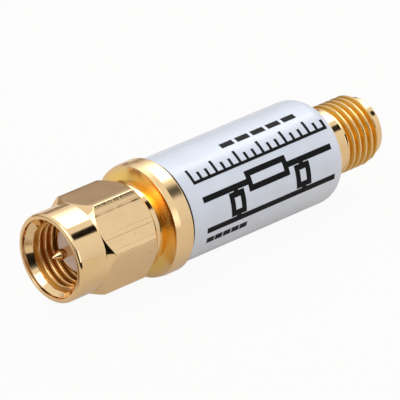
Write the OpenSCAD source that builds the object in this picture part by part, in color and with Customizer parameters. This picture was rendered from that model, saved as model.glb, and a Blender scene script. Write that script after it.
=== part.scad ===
// Coaxial fixed attenuator, plug to jack, in line.
// The coax axis lies along X: the plug's coupling nut is at -X and the threaded jack at +X.
// The part lies on its side on z = 0, with its origin under the middle of its length.
// All sizes are in millimetres.

/* [Coupling nut] */
// Length of the nut, mouth to rear face
nut_l = 9.3; // [8.8:0.1:11]
// Angle at which the nut stands at rest
nut_turn = 19.5; // [0:0.5:60]
// Hexagon across flats
nut_af = 8; // [7.95:0.05:8.6]
// Diameter of the round barrel in front of the hexagon
nut_barrel_d = 7.9; // [7.6:0.02:7.96]
// Length of the barrel, mouth to the foot of the hexagon's chamfer
nut_barrel_l = 2.95; // [2.4:0.05:3.6]
// Diameter of the round collar behind the hexagon
nut_collar_d = 7.86; // [7.5:0.02:7.96]
// Length of the collar
nut_collar_l = 0.65; // [0.4:0.05:1.2]
// Rounding of the rim at the mouth
nut_rim_r = 0.35; // [0.1:0.05:0.35]
// Rounding of the collar's rear edge
nut_collar_r = 0.15; // [0.05:0.05:0.3]
// Diameter of the counterbore at the mouth
nut_mouth_d = 7; // [6.8:0.02:7.2]
// Depth of that counterbore
nut_mouth_l = 0.32; // [0.1:0.02:0.5]
// Depth at which the lead-in cone behind it ends and the thread starts
lead_in_l = 1.13; // [0.9:0.01:1.4]
// Length of the inside thread
nut_thread_l = 3.52; // [3:0.01:3.7]
// Diameter of the relief behind the inside thread
relief_d = 6.7; // [6.5:0.05:7]
// Length of that relief
relief_l = 0.7; // [0.6:0.05:1]
// Countersink at the rear end of the nut's bearing
bearing_chamfer = 0.3; // [0.25:0.05:0.5]

/* [Thread] */
// Outside diameter of the interface thread, a quarter of an inch
thread_d = 6.35; // [6.3:0.01:6.4]
// Pitch of the interface thread, 36 turns to the inch
thread_pitch = 0.7056; // [0.65:0.0001:0.75]
// Depth of the outside thread, crest to root
thread_depth = 0.43; // [0.3:0.01:0.5]

/* [Snap ring] */
// Width of the ring along the axis
ring_w = 0.5; // [0.3:0.05:0.7]
// How far the ring reaches into the shell's groove
ring_bite_shell = 0.2; // [0.12:0.02:0.3]
// How far the ring reaches into the nut's groove
ring_bite_nut = 0.3; // [0.2:0.02:0.36]
// Gap where the ring is split
ring_split = 1; // [0.6:0.1:2]
// Distance of the ring's middle from the nut's rear face
ring_inset = 2.2; // [1.8:0.1:2.8]
// Free travel of nut and ring along the axis
nut_float = 0.2; // [0.1:0.05:0.25]

/* [Plug shell] */
// Depth of the plug's reference plane behind the nut's mouth
plug_recess = 2.75; // [2.4:0.05:3.1]
// Diameter of the nose that seats in a mating jack
nose_d = 4.59; // [4.5:0.01:4.6]
// Length of the nose
nose_l = 2.4; // [2.2:0.05:2.6]
// Diameter of the neck that the nut turns on
neck_d = 6; // [5.8:0.05:6.04]
// Gap between the nut's rear face and the flange's front edge
nut_gap = 0.57; // [0.5:0.01:1]
// Radius of the cove that hollows the flange's front
cove_r = 2.4; // [2.2:0.1:3]
// How far inside the flange's front edge that cove is deepest
cove_inset = 0.4; // [0.2:0.05:0.6]
// Diameter of the flange
flange_d = 10.2; // [9.9:0.05:11]
// Thickness of the flange
flange_l = 1.93; // [1.5:0.01:2.4]
// Length of the shallow bevel on the flange's front
bevel_l = 0.58; // [0.3:0.02:0.8]
// Height of that bevel
bevel_h = 0.1; // [0.05:0.01:0.2]
// Rounding of the flange's rear edge
flange_edge_r = 0.12; // [0.05:0.01:0.2]
// Diameter of the spigot pressed into the housing
spigot_d = 7.8; // [7.2:0.05:7.9]
// Length of the spigot
spigot_l = 3; // [2.4:0.1:4]

/* [Housing and sleeve] */
// Length of the housing, flange to rear face
body_l = 18.35; // [17.5:0.05:24]
// Outside diameter of the housing, under the sleeve
housing_d = 8.96; // [8.7:0.02:9.4]
// Radius of the housing's rear shoulder
shoulder_r = 1.45; // [0.6:0.05:1.5]
// Thickness of the end wall that carries the jack
end_wall_l = 3.8; // [3.2:0.1:5]
// Thickness of the shrunk sleeve
sleeve_t = 0.25; // [0.15:0.01:0.35]
// Bare ring between flange and sleeve
sleeve_gap = 0.35; // [0.2:0.05:0.8]
// Hole that the sleeve leaves round the jack
sleeve_hole_d = 6.7; // [6.5:0.05:7]

/* [Jack] */
// Length of the jack, housing face to tip
jack_l = 6.17; // [5.9:0.01:7.5]
// Diameter of the plain collar behind the thread
jack_collar_d = 6; // [5.8:0.05:6.02]
// Length of the collar, housing face to thread
jack_collar_l = 1.75; // [1:0.05:2]
// Diameter of the plain tip in front of the thread
jack_tip_d = 5.45; // [5.2:0.05:5.6]
// Length of the tip
jack_tip_l = 0.6; // [0.3:0.05:0.9]
// Rounding of the tip's edge
jack_tip_r = 0.15; // [0.05:0.01:0.25]
// Bore that takes a mating plug's nose
jack_bore_d = 4.62; // [4.6:0.01:4.7]
// Depth of that bore, tip to the jack's reference plane
jack_recess = 1.95; // [1.8:0.01:2.1]

/* [Insulators] */
// Diameter of both insulators
insulator_d = 4.1; // [4:0.01:4.2]
// Diameter of their seating shoulder
insulator_shoulder_d = 4.9; // [4.6:0.05:5.4]
// Length of that shoulder
insulator_shoulder_l = 1.4; // [0.8:0.1:1.8]

/* [Centre contacts] */
// Diameter of both contacts inside the insulators
contact_d = 1.27; // [1.2:0.01:1.35]
// Diameter of the collar that seats a contact in its insulator
contact_collar_d = 1.8; // [1.6:0.05:2.1]
// Length of that collar
contact_collar_l = 0.5; // [0.3:0.05:0.8]
// Diameter of the plug's pin
pin_d = 0.92; // [0.9:0.01:0.94]
// Length of the pin in front of the plug's reference plane
pin_l = 2.4; // [2.1:0.05:2.5]
// Length of the pin's cone
pin_tip_l = 0.75; // [0.4:0.05:0.9]
// Diameter of the flat on the pin's cone
pin_tip_d = 0.12; // [0.08:0.01:0.2]
// Bore of the jack's socket contact
socket_d = 0.94; // [0.93:0.01:0.97]
// Depth of that bore
socket_depth = 2.7; // [2.5:0.1:3]
// Width of the slits between the socket's four fingers
slit_w = 0.12; // [0.08:0.01:0.16]
// Length of the slits
slit_l = 1.7; // [1.2:0.1:2]

/* [Attenuator card] */
// Length of the ceramic card
card_l = 6; // [4.5:0.25:7]
// Width of the card
card_w = 4.2; // [3.6:0.1:5]
// Thickness of the card
card_t = 0.5; // [0.38:0.02:0.6]
// Length of card that each contact's fork holds
card_grip = 0.8; // [0.5:0.05:1.2]
// Bore of the air line through the clamp halves
line_d = 2.92; // [2.6:0.02:3.2]

/* [Clearances] */
// Radial clearance of the nut on the neck
bearing_clear = 0.08; // [0.05:0.01:0.1]
// Clearance of the ring in its grooves
ring_clear = 0.06; // [0.04:0.01:0.08]
// Clearance of pieces that are pressed or slid together
fit_clear = 0.01; // [0.005:0.001:0.02]

/* [Hidden] */
$fn = 96;
eps = 0.01;

gold = "#d9b36c";
beryllium_copper = "#c99a55";
ptfe = "#efe6e0";
sleeve_white = "#d5d9e3";
alumina = "#f1efe6";

// Stations along the axis, from the nut's mouth
x_flange = nut_l + nut_gap;
x_seat = x_flange + flange_l;
x_spigot = x_seat + spigot_l;
x_back = x_seat + body_l;
x_step = x_back - end_wall_l;
total_l = x_back + jack_l;
x_plug_plane = plug_recess;
x_jack_plane = total_l - jack_recess;
x_ring = nut_l - ring_inset;
x_thread_end = lead_in_l + nut_thread_l;
x_bearing = x_thread_end + relief_l;
x_card = (x_spigot + x_step - card_l) / 2;

// Radii that follow from the driving sizes
minor_r = (thread_d - 1.0825 * thread_pitch) / 2;
neck_r = neck_d / 2;
bearing_r = neck_r + bearing_clear;
chamber_r = spigot_d / 2 + fit_clear;
sleeve_r = housing_d / 2 + fit_clear + sleeve_t;
axis_z = flange_d / 2;

// Puts a revolved shape, drawn along Z from the nut's mouth, on the part's axis
module on_axis() {
    translate([-total_l / 2, 0, axis_z]) rotate([0, 90, 0]) children();
}

// Half of a section, from z0 to z1 and from the axis out to r
module bar(r, z0, z1) {
    translate([0, z0]) square([r, z1 - z0]);
}

// Half of a cone's section: r0 at z0, r1 at z1
module taper(r0, r1, z0, z1) {
    polygon([[0, z0], [r0, z0], [r1, z1], [0, z1]]);
}

// A bar with its outer corner at z1 rounded by e
module bar_round_end(r, z0, z1, e) {
    bar(r, z0, z1 - e);
    bar(r - e, z1 - 2 * e, z1);
    intersection() {
        translate([r - e, z1 - e]) circle(e);
        bar(r, z0, z1);
    }
}

// The same at z0
module bar_round_start(r, z0, z1, e) {
    translate([0, z0 + z1]) mirror([0, 1]) bar_round_end(r, z0, z1, e);
}

// Outside of the nut: barrel, two chamfer cones that trim the hexagon's corners, collar
module nut_outline() {
    corner_r = nut_af / sqrt(3);
    barrel_r = nut_barrel_d / 2;
    collar_r = nut_collar_d / 2;
    hex_end = nut_l - nut_collar_l;
    bar_round_start(barrel_r, 0, nut_barrel_l, nut_rim_r);
    polygon([[0, nut_barrel_l], [barrel_r, nut_barrel_l],
             [corner_r, nut_barrel_l + corner_r - barrel_r],
             [corner_r, hex_end - corner_r + collar_r], [collar_r, hex_end], [0, hex_end]]);
    bar_round_end(collar_r, hex_end, nut_l, nut_collar_r);
}

// Bore of the nut: counterbore, lead-in cone, thread at its minor diameter, relief, countersunk bearing, ring groove
module nut_bore() {
    mouth_r = nut_mouth_d / 2;
    bar(mouth_r, -eps, nut_mouth_l);
    taper(mouth_r, minor_r, nut_mouth_l, lead_in_l);
    bar(minor_r, 0, x_bearing + eps);
    bar(relief_d / 2, x_thread_end, x_bearing);
    bar(bearing_r, x_bearing, nut_l + eps);
    taper(bearing_r, bearing_r + bearing_chamfer + eps, nut_l - bearing_chamfer, nut_l + eps);
    bar(bearing_r + ring_bite_nut + ring_clear, x_ring - ring_w / 2 - ring_clear, x_ring + ring_w / 2 + ring_clear);
}

module coupling_nut() {
    color(gold) on_axis() difference() {
        intersection() {
            rotate([0, 0, nut_turn]) cylinder(d = nut_af * 2 / sqrt(3), h = nut_l, $fn = 6);
            rotate_extrude() nut_outline();
        }
        rotate_extrude() nut_bore();
    }
}

// Split ring that keeps the nut on the shell
module snap_ring() {
    outer_r = bearing_r + ring_bite_nut;
    inner_r = neck_r - ring_bite_shell;
    color(beryllium_copper) on_axis() translate([0, 0, x_ring - ring_w / 2]) difference() {
        cylinder(r = outer_r, h = ring_w);
        translate([0, 0, -eps]) cylinder(r = inner_r, h = ring_w + 2 * eps);
        translate([-outer_r - 1, -ring_split / 2, -eps]) cube([outer_r + 1, ring_split, ring_w + 2 * eps]);
    }
}

// Plug shell: nose, neck with the ring's groove, hollow-fronted flange, spigot inside the housing
module plug_shell() {
    flange_r = flange_d / 2;
    edge_r = flange_r - bevel_h;
    x_neck = x_plug_plane + nose_l;
    cove_c = edge_r - cove_inset;
    x_cove = x_flange - sqrt(cove_r * cove_r - cove_inset * cove_inset);
    x_foot = x_cove + sqrt(cove_r * cove_r - (cove_c - neck_r) * (cove_c - neck_r));
    groove_start = x_ring - ring_w / 2 - ring_clear;
    groove_end = x_ring + ring_w / 2 + nut_float + ring_clear;
    color(gold) on_axis() rotate_extrude() difference() {
        union() {
            bar(nose_d / 2, x_plug_plane, x_neck);
            bar(neck_r, x_neck, x_seat);
            difference() {
                union() {
                    bar(edge_r, x_foot, x_flange);
                    taper(edge_r, flange_r, x_flange, x_flange + bevel_l);
                    bar_round_end(flange_r, x_flange + bevel_l, x_seat, flange_edge_r);
                }
                translate([cove_c, x_cove]) circle(cove_r);
            }
            bar(spigot_d / 2, x_seat, x_spigot);
        }
        translate([neck_r - ring_bite_shell - ring_clear, groove_start])
            square([neck_r, groove_end - groove_start]);
        bar(insulator_d / 2 + fit_clear, x_plug_plane - eps, x_spigot + eps);
        bar(insulator_shoulder_d / 2 + fit_clear, x_spigot - insulator_shoulder_l - fit_clear, x_spigot + eps);
    }
}

// Bored insulator from its reference plane, at z = 0, to its seating shoulder, at z = l
module insulator(l) {
    color(ptfe) rotate_extrude() difference() {
        union() {
            bar(insulator_d / 2, 0, l);
            bar(insulator_shoulder_d / 2, l - insulator_shoulder_l, l);
        }
        bar(contact_d / 2 + fit_clear, -eps, l + eps);
        bar(contact_collar_d / 2 + fit_clear, l - contact_collar_l - fit_clear, l + eps);
    }
}

module plug_insulator() {
    on_axis() translate([0, 0, x_plug_plane]) insulator(x_spigot - x_plug_plane);
}

module jack_insulator() {
    on_axis() translate([0, 0, x_jack_plane]) mirror([0, 0, 1]) insulator(x_jack_plane - x_step);
}

// Slot of a contact's fork, which holds the card from the station where the card starts
module fork_slot() {
    translate([-card_t / 2 - fit_clear, -contact_d, -fit_clear])
        cube([card_t + 2 * fit_clear, 2 * contact_d, card_grip + 2 * eps + fit_clear]);
}

// Plug pin: pointed pin, body in the insulator with its collar, fork on the card
module plug_pin() {
    x_tip = x_plug_plane - pin_l;
    x_fork = x_card + card_grip;
    color(gold) on_axis() difference() {
        rotate_extrude() {
            taper(pin_tip_d / 2, pin_d / 2, x_tip, x_tip + pin_tip_l);
            bar(pin_d / 2, x_tip + pin_tip_l, x_plug_plane);
            bar(contact_d / 2, x_plug_plane, x_fork);
            bar(contact_collar_d / 2, x_spigot - contact_collar_l, x_spigot);
        }
        translate([0, 0, x_card]) fork_slot();
    }
}

// Jack contact: four-fingered socket, body in the insulator with its collar, fork on the card
module jack_contact() {
    x_fork = x_card + card_l - card_grip;
    color(gold) on_axis() difference() {
        rotate_extrude() {
            bar(contact_d / 2, x_fork, x_jack_plane);
            bar(contact_collar_d / 2, x_step, x_step + contact_collar_l);
        }
        translate([0, 0, x_jack_plane - socket_depth]) cylinder(d = socket_d, h = socket_depth + eps);
        for (turn = [45, 135]) {
            rotate([0, 0, turn]) translate([-contact_d, -slit_w / 2, x_jack_plane - slit_l])
                cube([2 * contact_d, slit_w, slit_l + eps]);
        }
        translate([0, 0, x_card + card_l]) mirror([0, 0, 1]) fork_slot();
    }
}

// Section of the outside thread's grooves: rings one pitch apart stand for its turns, the last crest ends at z_end.
// A crest is an eighth of the pitch wide, and flanks stand at 60 degrees to each other
module thread_grooves(r, z_start, z_end) {
    crest = thread_pitch / 8;
    mouth = thread_pitch - crest;
    root = mouth - 2 * thread_depth * tan(30);
    for (turn = [0 : floor((z_end - z_start) / thread_pitch)])
        translate([r, z_end - crest / 2 - (turn + 0.5) * thread_pitch])
            polygon([[eps, -mouth / 2], [0, -mouth / 2], [-thread_depth, -root / 2],
                     [-thread_depth, root / 2], [0, mouth / 2], [eps, mouth / 2]]);
}

// Housing: cup with a round shoulder, and the jack's collar, thread and tip
module housing() {
    thread_r = thread_d / 2;
    tip_r = jack_tip_d / 2;
    x_thread = x_back + jack_collar_l;
    x_tip = total_l - jack_tip_l;
    x_runout = x_tip - thread_r + tip_r;
    color(gold) on_axis() rotate_extrude() difference() {
        union() {
            bar_round_end(housing_d / 2, x_seat, x_back, shoulder_r);
            bar(jack_collar_d / 2, x_back, x_thread);
            bar(thread_r, x_thread, x_runout);
            taper(thread_r, tip_r, x_runout, x_tip);
            bar_round_end(tip_r, x_tip, total_l, jack_tip_r);
        }
        thread_grooves(thread_r, x_thread, x_runout);
        bar(chamber_r, x_seat - eps, x_step);
        bar(insulator_d / 2 + fit_clear, x_step - eps, x_jack_plane + eps);
        bar(insulator_shoulder_d / 2 + fit_clear, x_step - eps, x_step + insulator_shoulder_l + fit_clear);
        bar(jack_bore_d / 2, x_jack_plane, total_l + eps);
    }
}

// Printed sleeve, shrunk on the housing and drawn in over its rear shoulder
module label_sleeve() {
    x_end = x_back + fit_clear + sleeve_t;
    color(sleeve_white) on_axis() rotate_extrude() difference() {
        bar_round_end(sleeve_r, x_seat + sleeve_gap, x_end, shoulder_r + sleeve_t);
        bar_round_end(sleeve_r - sleeve_t, x_seat, x_back + fit_clear, shoulder_r);
        bar(sleeve_hole_d / 2, x_seat, x_end + eps);
    }
}

// Ceramic card that carries the resistive film
module attenuator_card() {
    color(alumina) on_axis() translate([-card_t / 2, -card_w / 2, x_card]) cube([card_t, card_w, card_l]);
}

// Half of the split clamp that holds the card's long edges and carries their ground
module card_clamp(side) {
    clamp_r = chamber_r - fit_clear;
    clamp_l = x_step - x_spigot - 2 * fit_clear;
    color(beryllium_copper) on_axis() translate([0, 0, x_spigot + fit_clear]) difference() {
        cylinder(r = clamp_r, h = clamp_l);
        translate([side > 0 ? 0 : -2 * clamp_r, -2 * clamp_r, -eps])
            cube([2 * clamp_r, 4 * clamp_r, clamp_l + 2 * eps]);
        translate([0, 0, -eps]) cylinder(d = line_d, h = clamp_l + 2 * eps);
        translate([-card_t / 2 - fit_clear, -card_w / 2 - fit_clear, (clamp_l - card_l) / 2 - fit_clear])
            cube([card_t + 2 * fit_clear, card_w + 2 * fit_clear, card_l + 2 * fit_clear]);
    }
}

module card_clamp_top() { card_clamp(1); }
module card_clamp_bottom() { card_clamp(-1); }

coupling_nut();
snap_ring();
plug_shell();
plug_insulator();
plug_pin();
housing();
label_sleeve();
jack_insulator();
jack_contact();
attenuator_card();
card_clamp_top();
card_clamp_bottom();
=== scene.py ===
"""Coaxial attenuator: the visible pieces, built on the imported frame.

Bright gold turned pieces with their real thread turns, a hexagonal coupling nut, a satin shrink
sleeve with a plain printed circuit symbol, waxy insulators, and a pale studio stage.
"""

import math
from functools import partial

import bmesh
import bpy
from bpy.props import FloatProperty, FloatVectorProperty, IntProperty, PointerProperty
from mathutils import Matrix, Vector


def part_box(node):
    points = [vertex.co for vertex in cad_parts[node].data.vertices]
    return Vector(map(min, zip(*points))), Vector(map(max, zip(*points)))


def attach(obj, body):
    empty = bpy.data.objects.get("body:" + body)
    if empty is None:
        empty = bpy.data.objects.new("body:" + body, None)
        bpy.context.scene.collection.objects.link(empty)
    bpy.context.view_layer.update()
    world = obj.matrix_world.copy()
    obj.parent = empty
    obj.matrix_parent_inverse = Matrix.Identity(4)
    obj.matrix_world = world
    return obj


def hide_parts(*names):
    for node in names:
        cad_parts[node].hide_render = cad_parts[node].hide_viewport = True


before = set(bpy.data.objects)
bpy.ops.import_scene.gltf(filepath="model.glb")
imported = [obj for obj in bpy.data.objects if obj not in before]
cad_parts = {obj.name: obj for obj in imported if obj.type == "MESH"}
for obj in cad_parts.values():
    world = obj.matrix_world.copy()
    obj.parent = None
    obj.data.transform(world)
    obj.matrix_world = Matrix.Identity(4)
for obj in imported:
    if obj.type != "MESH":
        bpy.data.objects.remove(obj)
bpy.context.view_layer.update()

bl_info = {
    "name": "Coaxial attenuator",
    "version": (1, 0, 0),
    "blender": (4, 5, 0),
    "location": "3D View > Sidebar > Attenuator",
    "description": "Dresses a packed coaxial attenuator with its visible pieces and a studio stage",
    "category": "Object",
}

MM = 0.001
NUT_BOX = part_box("coupling_nut")
SHELL_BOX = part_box("plug_shell")
HOUSING_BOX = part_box("housing")
SLEEVE_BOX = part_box("label_sleeve")
PIN_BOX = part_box("plug_pin")

# Stations run along the coax axis from the nut's mouth, in metres
MOUTH_X = NUT_BOX[0].x
AXIS_Z = (SHELL_BOX[0].z + SHELL_BOX[1].z) / 2
NUT_END = NUT_BOX[1].x - MOUTH_X
PLUG_PLANE = SHELL_BOX[0].x - MOUTH_X
SPIGOT_END = SHELL_BOX[1].x - MOUTH_X
HOUSING_START = HOUSING_BOX[0].x - MOUTH_X
TIP_END = HOUSING_BOX[1].x - MOUTH_X
SLEEVE_START = SLEEVE_BOX[0].x - MOUTH_X
SLEEVE_END = SLEEVE_BOX[1].x - MOUTH_X
PIN_START = PIN_BOX[0].x - MOUTH_X
PIN_END = PIN_BOX[1].x - MOUTH_X
JACK_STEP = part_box("jack_insulator")[0].x - MOUTH_X
JACK_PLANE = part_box("jack_insulator")[1].x - MOUTH_X
FORK_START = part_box("jack_contact")[0].x - MOUTH_X
FLANGE_D = SHELL_BOX[1].z - SHELL_BOX[0].z
SLEEVE_D = SLEEVE_BOX[1].z - SLEEVE_BOX[0].z
# The painted gap shadow, a dark band that stands in for the shade between flange and sleeve, shows up to
# here, just inside the sleeve's cut end
GLUE_END = SLEEVE_START + 0.1 * MM

# Clearances of the solids: the snap ring in its grooves, the nut's travel, pieces pressed or slid together
RING_CLEAR = 0.06 * MM
NUT_TRAVEL = 0.2 * MM
FIT_CLEAR = 0.01 * MM
# How near to a surface a point has to be to count as on it
NEAR = 0.01 * MM
# The nut's bore is smaller than the thread's outside diameter by this many pitches
INSIDE_CUT = 1.0825
# Edges that turn by more than this stay crisp
CRISP = math.radians(38)


def linear(code):
    """An sRGB hex colour as linear red, green and blue."""
    parts = [int(code[i:i + 2], 16) / 255 for i in (0, 2, 4)]
    return tuple(p / 12.92 if p <= 0.04045 else ((p + 0.055) / 1.055) ** 2.4 for p in parts)


def length(name, description, default):
    """A size, given in millimetres, kept in metres and shown in the scene's own unit."""
    return FloatProperty(name=name, description=description, default=default * MM, min=0, unit="LENGTH",
                         precision=5)


def colour(name, description, code):
    """A colour, given as sRGB hex."""
    return FloatVectorProperty(name=name, description=description, default=linear(code), subtype="COLOR",
                               min=0, max=1)


def share_of_turn(name, description, default):
    """A share of one turn."""
    return FloatProperty(name=name, description=description, default=default, min=0, max=1, subtype="FACTOR")


class NutSizes(bpy.types.PropertyGroup):
    """Sizes of the coupling nut"""
    across_flats: length("Across flats", "Hexagon size", 8)
    turn: FloatProperty(name="Turn", description="Angle of the hexagon at rest", default=math.radians(109.5),
                        subtype="ANGLE")
    barrel_d: length("Barrel", "Diameter of the round barrel", 7.9)
    barrel_l: length("Barrel length", "Mouth to the foot of the hexagon's chamfer", 2.95)
    collar_d: length("Collar", "Diameter of the rear collar", 7.86)
    collar_l: length("Collar length", "Length of the rear collar", 0.65)
    mouth_d: length("Mouth", "Counterbore at the mouth", 7)
    mouth_l: length("Mouth depth", "Depth of that counterbore", 0.32)
    lead_in_l: length("Lead-in depth", "Where the lead-in cone ends and the thread starts", 1.13)
    thread_l: length("Thread length", "Length of the inside thread", 3.52)
    start: share_of_turn("Thread start", "Where on a turn the crests begin", 0.733)
    relief_d: length("Relief", "Diameter of the relief behind the thread", 6.7)
    relief_l: length("Relief length", "Length of that relief", 0.7)
    bore_d: length("Bearing", "Bore that turns on the neck", 6.16)
    chamfer: length("Bearing chamfer", "Countersink at the rear end of the bearing", 0.3)
    groove_d: length("Ring groove", "Diameter of the snap ring's groove", 6.88)
    rim_r: length("Rim radius", "Rounding of the rim at the mouth", 0.28)
    edge_r: length("Edge radius", "Rounding of the hexagon's edges", 0.1)
    roll_l: length("Roll-off", "Stretch beside each edge over which a flat falls away", 0.6)
    roll_h: length("Roll-off depth", "How far a flat falls away there", 0.028)


class ThreadSizes(bpy.types.PropertyGroup):
    """Sizes of the interface thread"""
    outside_d: length("Outside", "Diameter over the crests", 6.35)
    pitch: length("Pitch", "Advance of one turn", 0.7056)
    depth: length("Depth", "Crest to root", 0.43)


class ShellSizes(bpy.types.PropertyGroup):
    """Sizes of the plug shell"""
    nose_d: length("Nose", "Diameter of the nose", 4.59)
    nose_l: length("Nose length", "Length of the nose", 2.4)
    bore_d: length("Bore", "Bore for the insulator", 4.12)
    seat_d: length("Seat", "Bore for the insulator's shoulder", 4.92)
    seat_l: length("Seat length", "Depth of that bore", 1.41)
    neck_d: length("Neck", "Diameter that the nut turns on", 6)
    groove_d: length("Ring groove", "Diameter at the bottom of the groove", 5.48)
    gap: length("Gap", "Nut to flange", 0.57)
    flange_l: length("Flange", "Thickness of the flange", 1.93)
    bevel_l: length("Bevel length", "Length of the shallow front bevel", 0.58)
    bevel_h: length("Bevel height", "Drop of that bevel", 0.1)
    cove_r: length("Cove", "Radius of the hollow in the flange's front", 2.4)
    cove_inset: length("Cove inset", "Where that hollow is deepest, inside the edge", 0.4)
    spigot_d: length("Spigot", "Diameter inside the housing", 7.8)


class HousingSizes(bpy.types.PropertyGroup):
    """Sizes of the housing and its jack"""
    outside_d: length("Outside", "Diameter under the sleeve", 8.96)
    shoulder_r: length("Shoulder", "Radius of the rear shoulder", 1.45)
    chamber_d: length("Chamber", "Bore of the housing", 7.82)
    jack_l: length("Jack length", "Rear face to tip", 6.17)
    collar_d: length("Collar", "Diameter of the plain collar", 6)
    collar_l: length("Collar length", "Rear face to thread", 1.75)
    start: share_of_turn("Thread start", "Where on a turn the crests begin", 0.446)
    tip_d: length("Tip", "Diameter of the plain tip", 5.45)
    tip_l: length("Tip length", "Length of the plain tip", 0.6)
    bore_d: length("Bore", "Bore that takes a plug's nose", 4.62)


class ContactSizes(bpy.types.PropertyGroup):
    """Sizes of the centre contacts and insulators"""
    contact_d: length("Contact", "Diameter inside the insulators", 1.27)
    collar_d: length("Collar", "Diameter of the seating collar", 1.8)
    collar_l: length("Collar length", "Length of the seating collar", 0.5)
    pin_d: length("Pin", "Diameter of the pin", 0.92)
    point_l: length("Point length", "Length of the pin's cone", 0.75)
    point_d: length("Point", "Flat at the end of the cone", 0.12)
    socket_d: length("Socket", "Bore of the socket", 0.94)
    socket_l: length("Socket depth", "Depth of that bore", 2.7)
    slit_w: length("Slit", "Slit between the socket's fingers", 0.12)
    slit_l: length("Slit length", "Length of the slits", 1.7)
    insulator_d: length("Insulator", "Diameter of the insulators", 4.1)
    shoulder_d: length("Insulator shoulder", "Diameter of their shoulder", 4.9)
    shoulder_l: length("Shoulder length", "Length of that shoulder", 1.4)
    card_t: length("Card", "Thickness of the card that the forks hold", 0.52)
    fork_l: length("Fork", "Length of the forks' slots", 0.81)


class SleeveSizes(bpy.types.PropertyGroup):
    """Sizes of the shrink sleeve and its print"""
    wall: length("Wall", "Thickness of the sleeve", 0.25)
    shoulder_r: length("Shoulder", "Outside radius of the rear shoulder", 1.7)
    hole_d: length("Hole", "Hole left round the jack", 6.7)
    ink: length("Ink", "Thickness of the print", 0.012)
    heavy: length("Heavy line", "Width of the symbol's lines", 0.52)
    light: length("Light line", "Width of the light lines", 0.28)


class Finishes(bpy.types.PropertyGroup):
    """Colours of the pieces"""
    gold: colour("Gold", "Gold plate in white light", "F3D2A2")
    gold_deep: colour("Deep gold", "Handled patches of the plate", "EDC98A")
    # Painted shade: the yellower amber in the flange's hollow stands in for the light bouncing inside it
    cove_gold: colour("Cove gold", "Thick plate in the flange's hollow", "FFDA80")
    # Painted shade: the amber laid in the thread grooves of the jack and the nut stands in for light bouncing
    # between their gold flanks
    amber: colour("Amber gold", "Plate in the jack's thread grooves", "DCA644")
    nut_amber: colour("Nut amber", "Plate in the nut's thread grooves", "C98A3C")
    score: colour("Score", "Scores and pits in the bar", "5E3F1C")
    spring: colour("Spring copper", "Beryllium copper under thin plate", "CF9F62")
    ptfe: colour("Insulator", "Waxy white insulator", "F1DED2")
    sleeve: colour("Sleeve", "Pale shrink sleeve", "D2D9E6")
    ink: colour("Ink", "Printed black", "0C0B0E")
    thin_ink: colour("Thin ink", "Specks where the ink is thin", "4A474C")
    # Painted shadow: a dark colour that stands in for the shade in the gap between flange and sleeve
    glue: colour("Adhesive", "Dark adhesive at the sleeve's cut end", "1E1A18")
    alumina: colour("Ceramic", "Ceramic card", "EFEDE4")
    floor: colour("Floor", "Studio floor", "D0C6BA")


class AttenuatorSettings(bpy.types.PropertyGroup):
    """All sizes and colours"""
    nut: PointerProperty(type=NutSizes)
    thread: PointerProperty(type=ThreadSizes)
    shell: PointerProperty(type=ShellSizes)
    housing: PointerProperty(type=HousingSizes)
    contact: PointerProperty(type=ContactSizes)
    sleeve: PointerProperty(type=SleeveSizes)
    finish: PointerProperty(type=Finishes)
    segments: IntProperty(name="Segments", description="Faces round a turned piece", default=192, min=48,
                          max=400, subtype="UNSIGNED")


def settings():
    """The attenuator's sizes and colours."""
    return bpy.context.scene.attenuator


def add_node(tree, kind, inputs=None, out=0, **values):
    """Adds a node, sets its values and fills its inputs with numbers or other nodes' outputs.
    It gives the output that is asked for, or all outputs where out is None."""
    node = tree.nodes.new(kind)
    for name, value in values.items():
        setattr(node, name, value)
    for key, value in (inputs or {}).items():
        if isinstance(value, bpy.types.NodeSocket):
            tree.links.new(value, node.inputs[key])
        else:
            node.inputs[key].default_value = value
    return node.outputs if out is None else node.outputs[out]


def rounded(corners, steps=5, guard=0.05 * MM, closed=True):
    """A half section from its corners, each (station, radius, fillet, rows to the next corner).
    A run with rows also gets one close to each end, so that smooth shading stays at the edges."""
    count = len(corners)
    spots = [Vector(corner[:2]) for corner in corners]
    runs = [spots[(i + 1) % count] - spots[i] for i in range(count)]
    wants = []
    for i, corner in enumerate(corners):
        loose_end = not closed and i in (0, count - 1)
        plain = loose_end or not corner[2]
        wants.append(0 if plain else corner[2] / math.tan(runs[i].angle(-runs[i - 1]) / 2))
    needs = [wants[i] + wants[(i + 1) % count] for i in range(count)]
    shares = [min(1, 0.96 * run.length / need) if need else 1 for run, need in zip(runs, needs)]
    bends = []
    for i, here in enumerate(spots):
        reach = wants[i] * min(shares[i - 1], shares[i])
        if not reach:
            bends.append([here])
            continue
        back, ahead = -runs[i - 1].normalized(), runs[i].normalized()
        half = back.angle(ahead) / 2
        centre = here + (back + ahead).normalized() * reach / math.cos(half)
        first, last = here + back * reach - centre, here + ahead * reach - centre
        sweep = first.angle(last)
        bends.append([centre + (first * math.sin((1 - k / steps) * sweep)
                                + last * math.sin(k / steps * sweep)) / math.sin(sweep)
                      for k in range(steps + 1)])
    section = []
    for i, corner in enumerate(corners):
        section += bends[i]
        if not corner[3] or (not closed and i == count - 1):
            continue
        start = bends[i][-1]
        run = bends[(i + 1) % count][0] - start
        near = min(guard / run.length, 0.2)
        stops = {near, 1 - near} | {k / corner[3] for k in range(1, corner[3])}
        section += [start + run * stop for stop in sorted(stops)]
    return section


def arc(station, height, radius, first, last, count):
    """Corners along an arc of a half section. Angles run from the axis's direction to the radius's."""
    angles = [first + (last - first) * k / count for k in range(count + 1)]
    return [(station + radius * math.cos(a), height + radius * math.sin(a), 0, 0) for a in angles]


def off_axis(point):
    """How far a point is from the coax axis."""
    return math.hypot(point.y, point.z - AXIS_Z)


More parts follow.
